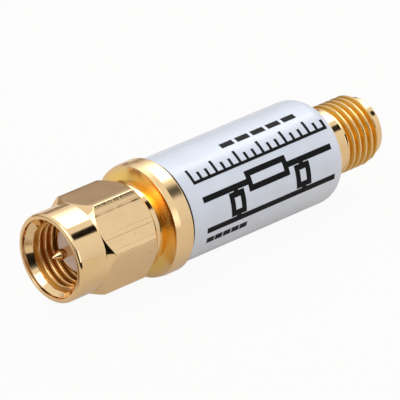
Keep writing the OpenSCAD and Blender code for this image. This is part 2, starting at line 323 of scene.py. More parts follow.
def link_mesh(name, verts, faces):
    """A new mesh object in the scene."""
    mesh = bpy.data.meshes.new(name)
    mesh.from_pydata(verts, [], faces)
    obj = bpy.data.objects.new(name, mesh)
    bpy.context.scene.collection.objects.link(obj)
    return obj


def face_out(obj, weld=True):
    """Turns the faces outwards. A welded piece has points that coincide, as on the axis, merged first."""
    work = bmesh.new()
    work.from_mesh(obj.data)
    if weld:
        bmesh.ops.remove_doubles(work, verts=work.verts, dist=1e-8)
        bmesh.ops.dissolve_degenerate(work, edges=work.edges, dist=1e-9)
    bmesh.ops.recalc_face_normals(work, faces=work.faces)
    work.to_mesh(obj.data)
    work.free()
    return obj


def revolve(name, angles, sections, closed=True):
    """Skins half sections, one for each angle round the coax axis, into one piece with outward faces."""
    rows = len(sections[0])
    verts = [(MOUTH_X + p.x, p.y * math.cos(a), AXIS_Z + p.y * math.sin(a))
             for a, section in zip(angles, sections) for p in section]
    faces = []
    for i in range(len(angles)):
        here, there = i * rows, (i + 1) % len(angles) * rows
        for j in range(rows if closed else rows - 1):
            k = (j + 1) % rows
            faces.append((here + j, here + k, there + k, there + j))
    return face_out(link_mesh(name, verts, faces))


def lathe(name, section, count, closed=True):
    """A turned piece: one half section all round the axis."""
    return revolve(name, [math.tau * k / count for k in range(count)], [section] * count, closed)


def settle(obj, body, slot, finishes, *nodes):
    """Smooth shading with crisp edges, the materials, and the piece's place in the frame."""
    mesh = obj.data
    mesh.materials.clear()
    for finish in finishes:
        mesh.materials.append(material(*finish))
    mesh.polygons.foreach_set("use_smooth", [True] * len(mesh.polygons))
    mesh.set_sharp_from_angle(angle=CRISP)
    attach(obj, body)
    if nodes:
        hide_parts(*nodes)
    return obj


def turns_tree():
    """Node tree that cuts a right-handed thread into a turned piece where its turns attribute is 1, and marks
    the grooves in a hollow attribute. Flanks are straight, crests and roots are rounded. A root outside the
    crests makes an inside thread."""
    tree = bpy.data.node_groups.new("Thread turns", "GeometryNodeTree")
    add = partial(add_node, tree)
    face = tree.interface
    face.new_socket("Geometry", in_out="INPUT", socket_type="NodeSocketGeometry")
    for name in ("Pitch", "Crest radius", "Root radius", "Axis height", "Start"):
        face.new_socket(name, in_out="INPUT", socket_type="NodeSocketFloat")
    face.new_socket("Plate", in_out="INPUT", socket_type="NodeSocketMaterial")
    face.new_socket("Geometry", in_out="OUTPUT", socket_type="NodeSocketGeometry")
    given = add("NodeGroupInput", out=None)
    spot = add("GeometryNodeInputPosition")
    place = add("ShaderNodeSeparateXYZ", {0: spot}, out=None)
    height = add("ShaderNodeMath", {0: place["Z"], 1: given["Axis height"]}, operation="SUBTRACT")
    across = add("ShaderNodeCombineXYZ", {"Y": place["Y"], "Z": height})
    outward = add("ShaderNodeVectorMath", {0: across}, operation="NORMALIZE")
    known = {
        "x": place["X"], "y": place["Y"], "height": height, "pitch": given["Pitch"], "start": given["Start"],
        "crest": given["Crest radius"], "root": given["Root radius"],
        "radius": add("ShaderNodeVectorMath", {0: across}, out="Value", operation="LENGTH"),
        "turns": add("GeometryNodeInputNamedAttribute", {"Name": "turns"}, data_type="FLOAT"),
    }
    # A value's name, its operation, and what that takes: numbers, or values that are known by then.
    # Shares are of one pitch, and a flank runs from 0.05 to 0.43 of it, counted from the middle of the crest
    steps = (
        ("angle", "ARCTAN2", "height", "y"),
        ("turn", "DIVIDE", "angle", math.tau),
        ("pitches", "DIVIDE", "x", "pitch"),
        ("along", "SUBTRACT", "pitches", "turn"),
        ("begun", "SUBTRACT", "along", "start"),
        ("share", "FRACT", "begun"),
        ("off_crest", "SUBTRACT", "share", 0.5),
        ("from_crest", "ABSOLUTE", "off_crest"),
        ("past_crest", "SUBTRACT", "from_crest", 0.05),
        ("flank", "DIVIDE", "past_crest", 0.38),
        ("crested", "SMOOTH_MAX", "flank", 0, 0.16),
        ("groove", "SMOOTH_MIN", "crested", 1, 0.3),
        ("depth", "SUBTRACT", "root", "crest"),
        ("way", "SIGN", "depth"),
        ("target", "MULTIPLY_ADD", "depth", "groove", "crest"),
        ("short", "SUBTRACT", "target", "radius"),
        ("inwards", "MULTIPLY", "way", "short"),
        ("past", "MAXIMUM", "inwards", 0),
        ("cut", "MULTIPLY", "way", "past"),
        ("move", "MULTIPLY", "cut", "turns"),
        ("cut_share", "DIVIDE", "move", "depth"),
    )
    for name, operation, *parts in steps:
        inputs = {i: known.get(part, part) for i, part in enumerate(parts)}
        known[name] = add("ShaderNodeMath", inputs, operation=operation)
    # The hollow attribute marks the grooves, where the gold gets its painted amber shade
    hollow = add("ShaderNodeMapRange", {0: known["cut_share"], 1: 0.02, 2: 0.3})
    marked = add("GeometryNodeStoreNamedAttribute",
                 {"Geometry": given["Geometry"], "Name": "hollow", "Value": hollow},
                 data_type="FLOAT", domain="POINT")
    offset = add("ShaderNodeVectorMath", {0: outward, "Scale": known["move"]}, operation="SCALE")
    moved = add("GeometryNodeSetPosition", {"Geometry": marked, "Offset": offset})
    real = add("GeometryNodeRealizeInstances", {0: moved})
    plated = add("GeometryNodeSetMaterial", {"Geometry": real, "Material": given["Plate"]})
    add("NodeGroupOutput", {0: plated}, out=None)
    return tree


def cut_turns(obj, crest, root, start, stations, radii, plate):
    """Marks the surface between two stations and two radii, cuts the thread there and keeps a plain mesh.
    The turns fade in over the first quarter of a millimetre."""
    fade = 0.25 * MM
    turns = obj.data.attributes.new("turns", "FLOAT", "POINT")
    shares = []
    for vert in obj.data.vertices:
        x = vert.co.x - MOUTH_X
        inside = stations[0] < x < stations[1] and radii[0] < off_axis(vert.co) < radii[1]
        shares.append(min((x - stations[0]) / fade, 1) if inside else 0)
    turns.data.foreach_set("value", shares)
    tree = bpy.data.node_groups.get("Thread turns") or turns_tree()
    modifier = obj.modifiers.new("Thread turns", "NODES")
    modifier.node_group = tree
    given = {"Pitch": settings().thread.pitch, "Crest radius": crest, "Root radius": root,
             "Axis height": AXIS_Z, "Start": start, "Plate": material(*plate)}
    for item in tree.interface.items_tree:
        if item.in_out == "INPUT" and item.name in given:
            modifier[item.identifier] = given[item.name]
    graph = bpy.context.evaluated_depsgraph_get()
    solved = obj.evaluated_get(graph)
    mesh = bpy.data.meshes.new_from_object(solved, preserve_all_data_layers=True, depsgraph=graph)
    obj.modifiers.clear()
    obj.data = mesh
    return obj


def blank_material(name):
    """A new material with no nodes, and what adds nodes to it."""
    made = bpy.data.materials.new(name)
    made.use_nodes = True
    made.node_tree.nodes.clear()
    return made, partial(add_node, made.node_tree)


def material(name, lay, *options):
    """The material of that name. If it isn't there yet, lay adds its nodes and gives the shader's inputs."""
    found = bpy.data.materials.get(name)
    if found:
        return found
    made, add = blank_material(name)
    shader = add("ShaderNodeBsdfPrincipled", lay(add, *options))
    add("ShaderNodeOutputMaterial", {0: shader}, out=None)
    return made


def about_axis(add):
    """Object coordinates, the same as (axial station, distance from the coax axis, 0), and that distance."""
    spot = add("ShaderNodeTexCoord", out="Object")
    place = add("ShaderNodeSeparateXYZ", {0: spot}, out=None)
    height = add("ShaderNodeMath", {0: place["Z"], 1: AXIS_Z}, operation="SUBTRACT")
    across = add("ShaderNodeCombineXYZ", {"Y": place["Y"], "Z": height})
    radius = add("ShaderNodeVectorMath", {0: across}, out="Value", operation="LENGTH")
    return spot, add("ShaderNodeCombineXYZ", {"X": place["X"], "Y": radius}), radius


def turned_gold(add, groove):
    """Gold plate on turned brass. It gives the eye clean mirror bands, faint rings left by the turning tool,
    soft patches where it was handled and a satin flange. Where the hollow attribute marks thread grooves it
    is rougher and carries a painted amber shade, and where the cove attribute marks the flange's hollow it is
    a satin with a yellower painted shade. Tool rings are 0.08 mm apart, patches about 1.5 mm wide."""
    finish = settings().finish
    spot, rings, radius = about_axis(add)
    patch = add("ShaderNodeTexNoise", {"Vector": spot, "Scale": 1 / (1.5 * MM), "Detail": 3})
    tone = add("ShaderNodeMapRange", {0: patch, 1: 0.45, 2: 0.75, 3: 0, 4: 0.5})
    cove = add("ShaderNodeAttribute", out="Fac", attribute_name="cove")
    hollow = add("ShaderNodeAttribute", out="Fac", attribute_name="hollow")
    flange = add("ShaderNodeMapRange", {0: radius, 1: 4.85 * MM, 2: 4.95 * MM})
    base = (*finish.gold, 1)
    # Random handled patches, then the painted amber shade in the flange's hollow and in the thread grooves
    shades = ((tone, finish.gold_deep), (cove, finish.cove_gold), (hollow, getattr(finish, groove)))
    for share, shade in shades:
        base = add("ShaderNodeMix", {0: share, 6: base, 7: (*shade, 1)}, out=2, data_type="RGBA")
    rough = add("ShaderNodeMapRange", {0: patch, 1: 0.3, 2: 0.8, 3: 0.05, 4: 0.13})
    for share, more in ((flange, 0.1), (hollow, 0.2), (cove, 0.17)):
        rough = add("ShaderNodeMath", {0: share, 1: more, 2: rough}, operation="MULTIPLY_ADD")
    tool = add("ShaderNodeTexNoise", {"Vector": rings, "Scale": 1 / (0.08 * MM), "Detail": 2})
    bump = add("ShaderNodeBump", {"Height": tool, "Strength": 0.06, "Distance": 0.01 * MM})
    return {"Base Color": base, "Metallic": 1, "Roughness": rough, "Normal": bump}


def drawn_gold(add):
    """Gold plate on drawn hexagon bar. It gives the eye a few long straight dark scores along one worn flat,
    small pits, and cross chatter that frays reflections at the flat's edges. Scores are about 0.7 mm apart,
    pits 0.15 mm wide, chatter 0.25 mm."""
    finish = settings().finish
    spot = add("ShaderNodeTexCoord", out="Object")
    worn_turn = settings().nut.turn + math.radians(30)
    worn_way = (0, math.cos(worn_turn), math.sin(worn_turn))
    faced = add("ShaderNodeNewGeometry", out="Normal")
    faced = add("ShaderNodeVectorTransform", {0: faced}, vector_type="NORMAL", convert_from="WORLD",
                convert_to="OBJECT")
    faced = add("ShaderNodeVectorMath", {0: faced, 1: worn_way}, out="Value", operation="DOT_PRODUCT")
    worn = add("ShaderNodeMapRange", {0: faced, 1: 0.8, 2: 0.95, 3: 0.12, 4: 1})
    drawn = add("ShaderNodeMapping", {0: spot, "Scale": (0.003, 1, 1)})
    lines = add("ShaderNodeTexNoise", {"Vector": drawn, "Scale": 1 / (0.7 * MM), "Detail": 1})
    level = add("ShaderNodeMath", {0: lines, 1: 0.5}, operation="SUBTRACT")
    level = add("ShaderNodeMath", {0: level}, operation="ABSOLUTE")
    thin = add("ShaderNodeMapRange", {0: level, 1: 0, 2: 0.014, 3: 1, 4: 0})
    patch = add("ShaderNodeTexNoise", {"Vector": spot, "Scale": 1 / (1.6 * MM), "Detail": 2})
    fade = add("ShaderNodeMapRange", {0: patch, 1: 0.4, 2: 0.55, 3: 0.25, 4: 0.9})
    fade = add("ShaderNodeMath", {0: fade, 1: worn}, operation="MULTIPLY")
    scored = add("ShaderNodeMath", {0: thin, 1: fade}, operation="MULTIPLY")
    pits = add("ShaderNodeTexNoise", {"Vector": spot, "Scale": 1 / (0.22 * MM), "Detail": 1})
    pitted = add("ShaderNodeMapRange", {0: pits, 1: 0.75, 2: 0.8, 3: 0, 4: 0.55})
    marks = add("ShaderNodeMath", {0: scored, 1: pitted}, operation="MAXIMUM")
    shades = {0: marks, 6: (*finish.gold, 1), 7: (*finish.score, 1)}
    base = add("ShaderNodeMix", shades, out=2, data_type="RGBA")
    rough = add("ShaderNodeMapRange", {0: patch, 1: 0.3, 2: 0.7, 3: 0.1, 4: 0.18})
    cross = add("ShaderNodeMapping", {0: spot, "Scale": (1, 0.4, 0.4)})
    chatter = add("ShaderNodeTexNoise", {"Vector": cross, "Scale": 1 / (0.25 * MM), "Detail": 2})
    depth = add("ShaderNodeMapRange", {0: faced, 1: 0.9995, 2: 0.997, 3: 0.02, 4: 1})
    depth = add("ShaderNodeMath", {0: depth, 1: worn}, operation="MULTIPLY")
    bump = add("ShaderNodeBump", {"Height": lines, "Strength": 0.1, "Distance": 0.01 * MM})
    bump = add("ShaderNodeBump", {"Height": pitted, "Strength": 0.6, "Distance": 0.02 * MM, "Normal": bump},
               invert=True)
    bump = add("ShaderNodeBump",
               {"Height": chatter, "Strength": depth, "Distance": 0.025 * MM, "Normal": bump})
    return {"Base Color": base, "Metallic": 1, "Roughness": rough, "Normal": bump}


def waxy_ptfe(add):
    """Turned fluoropolymer. It gives the eye a soft, slightly see-through white with faint tool rings, 0.1 mm
    apart."""
    rings = about_axis(add)[1]
    tool = add("ShaderNodeTexNoise", {"Vector": rings, "Scale": 1 / (0.1 * MM), "Detail": 2})
    bump = add("ShaderNodeBump", {"Height": tool, "Strength": 0.15, "Distance": 0.02 * MM})
    return {"Base Color": (*settings().finish.ptfe, 1), "Roughness": 0.42, "Normal": bump,
            "Subsurface Weight": 0.25, "Subsurface Radius": (0.4 * MM, 0.35 * MM, 0.3 * MM)}


def shrink_film(add):
    """Shrunk polyolefin sleeve. It gives the eye a smooth satin pale grey skin with a slow ripple, about
    2.5 mm long, and a trace of orange peel, 0.12 mm."""
    finish = settings().finish
    spot = add("ShaderNodeTexCoord", out="Object")
    ripple = add("ShaderNodeTexNoise", {"Vector": spot, "Scale": 1 / (2.5 * MM), "Detail": 1})
    peel = add("ShaderNodeTexNoise", {"Vector": spot, "Scale": 1 / (0.12 * MM), "Detail": 2})
    tone = add("ShaderNodeMapRange", {0: ripple, 1: 0.3, 2: 0.7, 3: 0, 4: 1})
    skin, dark = (*finish.sleeve, 1), (*[0.95 * part for part in finish.sleeve], 1)
    base = add("ShaderNodeMix", {0: tone, 6: skin, 7: dark}, out=2, data_type="RGBA")
    rough = add("ShaderNodeMapRange", {0: peel, 1: 0.3, 2: 0.7, 3: 0.265, 4: 0.275})
    bump = add("ShaderNodeBump", {"Height": ripple, "Strength": 0.1, "Distance": 0.05 * MM})
    bump = add("ShaderNodeBump", {"Height": peel, "Strength": 0.003, "Distance": 0.01 * MM, "Normal": bump})
    return {"Base Color": base, "Roughness": rough, "Normal": bump}


def printed_ink(add):
    """Black transfer ink. It gives the eye a flat black, a little thin in specks of about 0.1 mm."""
    finish = settings().finish
    spot = add("ShaderNodeTexCoord", out="Object")
    specks = add("ShaderNodeTexNoise", {"Vector": spot, "Scale": 1 / (0.1 * MM), "Detail": 3})
    thin = add("ShaderNodeMapRange", {0: specks, 1: 0.6, 2: 0.8, 3: 0, 4: 0.35})
    inks = {0: thin, 6: (*finish.ink, 1), 7: (*finish.thin_ink, 1)}
    base = add("ShaderNodeMix", inks, out=2, data_type="RGBA")
    return {"Base Color": base, "Roughness": 0.45, "Specular IOR Level": 0.1}


def grained(add, shade, metal, grain, rough, relief):
    """A finish of one colour with a fine grain in its sheen and its relief. Grain is its width and detail,
    rough is from where to where the sheen goes, and relief is its strength and depth. Measures are in mm."""
    spot = add("ShaderNodeTexCoord", out="Object")
    noise = add("ShaderNodeTexNoise", {"Vector": spot, "Scale": 1 / (grain[0] * MM), "Detail": grain[1]})
    sheen = add("ShaderNodeMapRange", {0: noise, 1: 0.3, 2: 0.7, 3: rough[0], 4: rough[1]})
    bump = add("ShaderNodeBump", {"Height": noise, "Strength": relief[0], "Distance": relief[1] * MM})
    base = (*getattr(settings().finish, shade), 1)
    return {"Base Color": base, "Metallic": metal, "Roughness": sheen, "Normal": bump}


# Each finish: the material's name, what lays its nodes, and what that is told
# The third item names the colour of the painted amber shade in the thread grooves
GOLD = ("Gold plate on turned brass", turned_gold, "amber")
NUT_GOLD = ("Gold plate on the nut", turned_gold, "nut_amber")
BAR_GOLD = ("Gold plate on drawn bar", drawn_gold)
PTFE = ("Turned fluoropolymer", waxy_ptfe)
FILM = ("Shrunk polyolefin film", shrink_film)
INK = ("Black transfer ink", printed_ink)
# Beryllium copper under a thin plate. It gives the eye a darker, satin gold with a rolled grain, 0.1 mm
SPRING = ("Plated beryllium copper", grained, "spring", 1, (0.1, 3), (0.22, 0.36), (0.08, 0.01))
# Painted shadow of the gap at the sleeve's cut end, a dark finish that stands in for the shade there. It
# gives the eye a thin dark line with dull lumps, 0.2 mm
GLUE = ("Hot melt adhesive", grained, "glue", 0, (0.2, 2), (0.5, 0.75), (0.3, 0.02))
# Fired alumina. It gives the eye a matt off-white with a fine sintered grain, 0.08 mm
ALUMINA = ("Fired alumina", grained, "alumina", 0, (0.08, 3), (0.6, 0.6), (0.2, 0.01))


class ATTENUATOR_OT_coupling_nut(bpy.types.Operator):
    """Coupling nut: barrel, chamfered hexagon, collar, stepped bore and inside thread"""
    bl_idname = "attenuator.coupling_nut"
    bl_label = "Coupling nut"

    def execute(self, context):
        sizes, thread = settings().nut, settings().thread
        flat, barrel, collar = sizes.across_flats / 2, sizes.barrel_d / 2, sizes.collar_d / 2
        mouth, bore, edge = sizes.mouth_d / 2, sizes.bore_d / 2, sizes.edge_r
        minor = (thread.outside_d - INSIDE_CUT * thread.pitch) / 2
        hex_end = NUT_END - sizes.collar_l
        thread_end = sizes.lead_in_l + sizes.thread_l
        bearing = thread_end + sizes.relief_l
        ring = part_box("snap_ring")
        groove = (ring[0].x - MOUTH_X - RING_CLEAR, ring[1].x - MOUTH_X + RING_CLEAR)

        def section(face):
            """The half section where the hexagon's side is that far out."""
            return rounded([
                (0, mouth, 0.07 * MM, 1),
                (0, barrel, sizes.rim_r, 6),
                (sizes.barrel_l, barrel, 0.05 * MM, 3),
                (sizes.barrel_l + face - barrel, face, 0.06 * MM, 8),
                (hex_end - face + collar, face, 0.06 * MM, 3),
                (hex_end, collar, 0.05 * MM, 2),
                (NUT_END, collar, 0.14 * MM, 2),
                (NUT_END, bore + sizes.chamfer, 0.03 * MM, 2),
                (NUT_END - sizes.chamfer, bore, 0.02 * MM, 3),
                (groove[1], bore, 0, 1),
                (groove[1], sizes.groove_d / 2, 0, 1),
                (groove[0], sizes.groove_d / 2, 0, 1),
                (groove[0], bore, 0, 2),
                (bearing, bore, 0.02 * MM, 1),
                (bearing, sizes.relief_d / 2, 0.02 * MM, 2),
                (thread_end, sizes.relief_d / 2, 0.02 * MM, 1),
                (thread_end, minor, 0, 110),
                (sizes.lead_in_l, minor, 0, 24),
                (sizes.mouth_l, mouth, 0.06 * MM, 3),
            ])

        outline = self.hexagon(flat, edge)
        angles = [angle for angle, face in outline]
        nut = revolve("coupling_nut_gold", angles, [section(face) for angle, face in outline])
        cut_turns(nut, minor, minor + thread.depth, sizes.start, (sizes.mouth_l, thread_end + NEAR),
                  (minor - NEAR, mouth), NUT_GOLD)
        settle(nut, "nut", "gold_plated_brass", [NUT_GOLD, BAR_GOLD], "coupling_nut")
        for face in nut.data.polygons:
            across = Vector((0, face.center.y, face.center.z - AXIS_Z))
            drawn = across.length > flat - NEAR and face.normal.dot(across.normalized()) > 0.8
            face.material_index = int(drawn and abs(face.normal.x) < 0.05)
        return {"FINISHED"}

    def hexagon(self, flat, edge):
        """The hexagon as (angle, radius) all round. Each flat is straight, rolls off near its edges and ends
        in a rounded edge that it meets smoothly."""
        sizes = settings().nut
        corner = math.radians(30)
        roll_start = flat * math.tan(corner) - sizes.roll_l
        bend = sizes.roll_h / sizes.roll_l ** 2
        last = flat * math.tan(corner)
        for guess in range(8):
            tilt = math.atan(2 * bend * (last - roll_start))
            drop = bend * (last - roll_start) ** 2
            last = math.tan(corner) * (flat - drop - edge * math.cos(tilt)) + edge * math.sin(tilt)
        points = [(roll_start * k / 7, flat) for k in range(8)]
        for k in range(1, 7):
            past = (last - roll_start) * k / 6
            points.append((roll_start + past, flat - bend * past ** 2))
        centre = (last - edge * math.sin(tilt), flat - drop - edge * math.cos(tilt))
        for k in range(1, 5):
            turn = tilt + (corner - tilt) * k / 4
            points.append((centre[0] + edge * math.sin(turn), centre[1] + edge * math.cos(turn)))
        half = [(math.atan2(side, out), math.hypot(side, out)) for side, out in points]
        sector = [(-angle, radius) for angle, radius in reversed(half[1:-1])] + half
        return [(sizes.turn + math.radians(60 * k + 30) + angle, radius)
                for k in range(6) for angle, radius in sector]


class ATTENUATOR_OT_plug_shell(bpy.types.Operator):
    """Plug shell: nose, neck with its ring groove, hollow-fronted flange and spigot"""
    bl_idname = "attenuator.plug_shell"
    bl_label = "Plug shell"

    def execute(self, context):
        sizes = settings().shell
        neck, rim, bore, seat = sizes.neck_d / 2, FLANGE_D / 2, sizes.bore_d / 2, sizes.seat_d / 2
        edge = rim - sizes.bevel_h
        front = NUT_END + sizes.gap
        back = front + sizes.flange_l
        nose_end = PLUG_PLANE + sizes.nose_l
        cove_at = edge - sizes.cove_inset
        cove_x = front - math.sqrt(sizes.cove_r ** 2 - sizes.cove_inset ** 2)
        cove = arc(cove_x, cove_at, sizes.cove_r, math.asin((neck - cove_at) / sizes.cove_r),
                   math.asin(sizes.cove_inset / sizes.cove_r), 20)
        cove[-1] = (front, edge, 0.04 * MM, 3)
        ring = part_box("snap_ring")
        groove = (ring[0].x - MOUTH_X - RING_CLEAR, ring[1].x - MOUTH_X + RING_CLEAR + NUT_TRAVEL)
        section = rounded([
            (PLUG_PLANE, bore, 0.03 * MM, 1),
            (PLUG_PLANE, sizes.nose_d / 2, 0.06 * MM, 3),
            (nose_end, sizes.nose_d / 2, 0.05 * MM, 2),
            (nose_end, neck, 0.06 * MM, 2),
            (groove[0], neck, 0, 1),
            (groove[0], sizes.groove_d / 2, 0, 1),
            (groove[1], sizes.groove_d / 2, 0, 1),
            (groove[1], neck, 0, 3)]
            + cove + [
            (front + sizes.bevel_l, rim, 0.25 * MM, 4),
            (back, rim, 0.12 * MM, 3),
            (back, sizes.spigot_d / 2, 0.02 * MM, 2),
            (SPIGOT_END, sizes.spigot_d / 2, 0.05 * MM, 2),
            (SPIGOT_END, seat, 0.02 * MM, 1),
            (SPIGOT_END - sizes.seat_l, seat, 0, 1),
            (SPIGOT_END - sizes.seat_l, bore, 0, 4),
        ])
        shell = lathe("plug_shell_gold", section, settings().segments)
        # The hollow's painted amber shade comes in over a third of the way down from its edge to the neck
        marks = shell.data.attributes.new("cove", "FLOAT", "POINT")
        shares = []
        for vert in shell.data.vertices:
            drop = (edge - off_axis(vert.co)) / (edge - neck)
            inside = cove[0][0] - NEAR < vert.co.x - MOUTH_X < front + 0.05 * MM and drop < 1.01
            shares.append(min(max((drop - 0.04) / 0.34, 0), 1) if inside else 0)
        marks.data.foreach_set("value", shares)
        settle(shell, "body", "gold_plated_brass", [GOLD], "plug_shell")
        return {"FINISHED"}


class ATTENUATOR_OT_housing(bpy.types.Operator):
    """Housing: the cup under the sleeve, and the jack with its outside thread"""
    bl_idname = "attenuator.housing"
    bl_label = "Housing"

    def execute(self, context):
        sizes, thread, contact = settings().housing, settings().thread, settings().contact
        major, tip, collar = thread.outside_d / 2, sizes.tip_d / 2, sizes.collar_d / 2
        bore, seat, chamber = settings().shell.bore_d / 2, settings().shell.seat_d / 2, sizes.chamber_d / 2
        back = TIP_END - sizes.jack_l
        thread_start = back + sizes.collar_l
        tip_start = TIP_END - sizes.tip_l
        run_out = tip_start - major + tip
        section = rounded([
            (HOUSING_START, sizes.outside_d / 2, 0.03 * MM, 2),
            (GLUE_END, sizes.outside_d / 2, 0, 6),
            (back, sizes.outside_d / 2, sizes.shoulder_r, 1),
            (back, collar, 0.02 * MM, 3),
            (thread_start - 0.1 * MM, collar, 0.08 * MM, 4),
            (thread_start + 0.08 * MM, major, 0, 130),
            (run_out, major, 0, 16),
            (tip_start, tip, 0.06 * MM, 3),
            (TIP_END, tip, 0.16 * MM, 2),
            (TIP_END, sizes.bore_d / 2, 0.05 * MM, 4),
            (JACK_PLANE, sizes.bore_d / 2, 0, 1),
            (JACK_PLANE, bore, 0, 3),
            (JACK_STEP + contact.shoulder_l, bore, 0, 1),
            (JACK_STEP + contact.shoulder_l, seat, 0, 2),
            (JACK_STEP, seat, 0, 1),
            (JACK_STEP, chamber, 0, 4),
            (HOUSING_START, chamber, 0, 1),
        ], steps=8)
        cup = lathe("housing_gold", section, settings().segments)
        cut_turns(cup, major, major - thread.depth, sizes.start, (thread_start - 0.1 * MM, tip_start),
                  (tip + 0.001 * MM, major + NEAR), GOLD)
        settle(cup, "body", "gold_plated_brass", [GOLD, GLUE], "housing")
        # The housing's outside up to just inside the sleeve's cut end takes the painted gap shadow
        for face in cup.data.polygons:
            outside = off_axis(face.center) > chamber + 0.1 * MM
            face.material_index = int(outside and face.center.x - MOUTH_X < GLUE_END)
        return {"FINISHED"}


class ATTENUATOR_OT_sleeve(bpy.types.Operator):
    """Shrink sleeve, drawn in over the housing's rear shoulder"""
    bl_idname = "attenuator.sleeve"
    bl_label = "Shrink sleeve"

    def execute(self, context):
        sizes = settings().sleeve
        outer, hole = SLEEVE_D / 2, sizes.hole_d / 2
        inner = outer - sizes.wall
        centre = (SLEEVE_END - sizes.shoulder_r, outer - sizes.shoulder_r)
        small_r = sizes.shoulder_r - sizes.wall
        rise = hole - centre[1]
        lip = rounded([
            (SLEEVE_START, inner, 0.02 * MM, 1),
            (SLEEVE_START, outer, 0.05 * MM, 12),
            (centre[0], outer, 0, 0)], closed=False)
        outside = arc(*centre, sizes.shoulder_r, math.radians(90), math.asin(rise / sizes.shoulder_r), 18)
        inside = arc(*centre, small_r, math.asin(rise / small_r), math.radians(90), 12)
        section = lip[:-1] + [Vector(corner[:2]) for corner in outside + inside]
        sleeve = lathe("label_sleeve_film", section, settings().segments)
        settle(sleeve, "body", "sleeve_film", [FILM, GLUE], "label_sleeve")
        # The sleeve's cut end face takes the painted gap shadow
        for face in sleeve.data.polygons:
            face.material_index = int(face.normal.x < -0.5 and face.center.x - MOUTH_X < GLUE_END)
        return {"FINISHED"}


class ATTENUATOR_OT_sleeve_print(bpy.types.Operator):
    """Print on the sleeve: a plain resistor pad symbol and rules, with no words"""
    bl_idname = "attenuator.sleeve_print"
    bl_label = "Sleeve print"

    def execute(self, context):
        sizes = settings().sleeve
        heavy, light, bold = sizes.heavy, sizes.light, 2 * sizes.light
        # Stations run along the sleeve, and heights run round it from the side away from the camera
        left, right, branches = 13.9 * MM, 28.3 * MM, (17.3 * MM, 24.9 * MM)
        middle, rule, dashes, blocks = (math.radians(turn) * SLEEVE_D / 2 for turn in (164, 124, 104, 198))
        rail, ground, rule = middle - 1.05 * MM, middle + 1.75 * MM, rule + 0.6 * MM
        lines = [([(left, rail), (19 * MM, rail)], heavy),
                 ([(23.2 * MM, rail), (right, rail)], heavy),
                 self.resistor(21.1 * MM, rail, 4.2 * MM, 1.3 * MM)]
        for x in branches:
            lines += [([(x, rail), (x, rail + 0.6 * MM)], heavy),
                      self.resistor(x, rail + 1.4 * MM, 1.2 * MM, 1.6 * MM),
                      ([(x, ground - 0.6 * MM), (x, ground)], heavy)]
        lines += [([(left, ground), (right, ground)], heavy),
                  ([(13.6 * MM, rule), (28.9 * MM, rule)], light)]
        for k in range(18):
            x, tick = (13.6 + 0.9 * k) * MM, (0.7 if k % 3 else 1.2) * MM
            lines.append(([(x, rule), (x, rule - tick)], light))
        for first, dash, step, height in ((18.7, 0.9, 1.8, dashes), (14, 0.3, 0.95, blocks)):
            for k in range(5):
                x = (first + step * k) * MM
                lines.append(([(x, height), (x + dash * MM, height)], bold))
        verts, faces = [], []
        for points, width in lines:
            for start, end in zip(points, points[1:]):
                self.stroke(verts, faces, Vector(start), Vector(end), width)
        ink = face_out(link_mesh("sleeve_print_ink", verts, faces), weld=False)
        settle(ink, "body", "sleeve_film", [INK])
        return {"FINISHED"}

    def resistor(self, x, height, width, depth):
        """The open box of a resistor about a middle point, as points and a line width."""
        xs, ys = (x - width / 2, x + width / 2), (height - depth / 2, height + depth / 2)
        corners = [(xs[0], ys[0]), (xs[1], ys[0]), (xs[1], ys[1]), (xs[0], ys[1]), (xs[0], ys[0])]
        return corners, settings().sleeve.heavy

    def stroke(self, verts, faces, start, end, width):
        """Adds a printed line between two points, each (station, height), with square ends past them."""
        ink, radius = settings().sleeve.ink, SLEEVE_D / 2
        reach = (end - start).normalized() * width / 2
        start, run = start - reach, end - start + 2 * reach
        side = Vector((-run.y, run.x)).normalized() * width / 2
        cuts = max(1, round(run.length / (0.25 * MM)))
        base = len(verts)
        for k in range(cuts + 1):
            here = start + run * k / cuts
            for sign, rise in ((1, ink), (1, -ink), (-1, -ink), (-1, ink)):
                spot, out = here + sign * side, radius + rise
                angle = spot.y / radius
                verts.append((MOUTH_X + spot.x, out * math.cos(angle), AXIS_Z + out * math.sin(angle)))
        for k in range(cuts):
            row = base + 4 * k
            for j in range(4):
                faces.append((row + j, row + (j + 1) % 4, row + 4 + (j + 1) % 4, row + 4 + j))
        last = base + 4 * cuts
        faces += [(base, base + 1, base + 2, base + 3), (last, last + 3, last + 2, last + 1)]


class ATTENUATOR_OT_insulators(bpy.types.Operator):
    """Both insulators"""
    bl_idname = "attenuator.insulators"
    bl_label = "Insulators"

    def execute(self, context):
        sizes = settings().contact
        outer, shoulder = sizes.insulator_d / 2, sizes.shoulder_d / 2
        hole, recess = sizes.contact_d / 2 + FIT_CLEAR, sizes.collar_d / 2 + FIT_CLEAR
        for name, plane, seat in (("plug_insulator", PLUG_PLANE, SPIGOT_END),
                                  ("jack_insulator", JACK_PLANE, JACK_STEP)):
            way = 1 if seat > plane else -1
            section = rounded([
                (plane, hole, 0.02 * MM, 3),
                (plane, outer, 0.04 * MM, 6),
                (seat - way * sizes.shoulder_l, outer, 0, 1),
                (seat - way * sizes.shoulder_l, shoulder, 0.03 * MM, 2),
                (seat, shoulder, 0.03 * MM, 2),
                (seat, recess, 0, 1),
                (seat - way * (sizes.collar_l + FIT_CLEAR), recess, 0, 1),
                (seat - way * (sizes.collar_l + FIT_CLEAR), hole, 0, 4),
            ])
            piece = lathe(name + "_white", section, 96)
            settle(piece, "body", "ptfe", [PTFE], name)
        return {"FINISHED"}


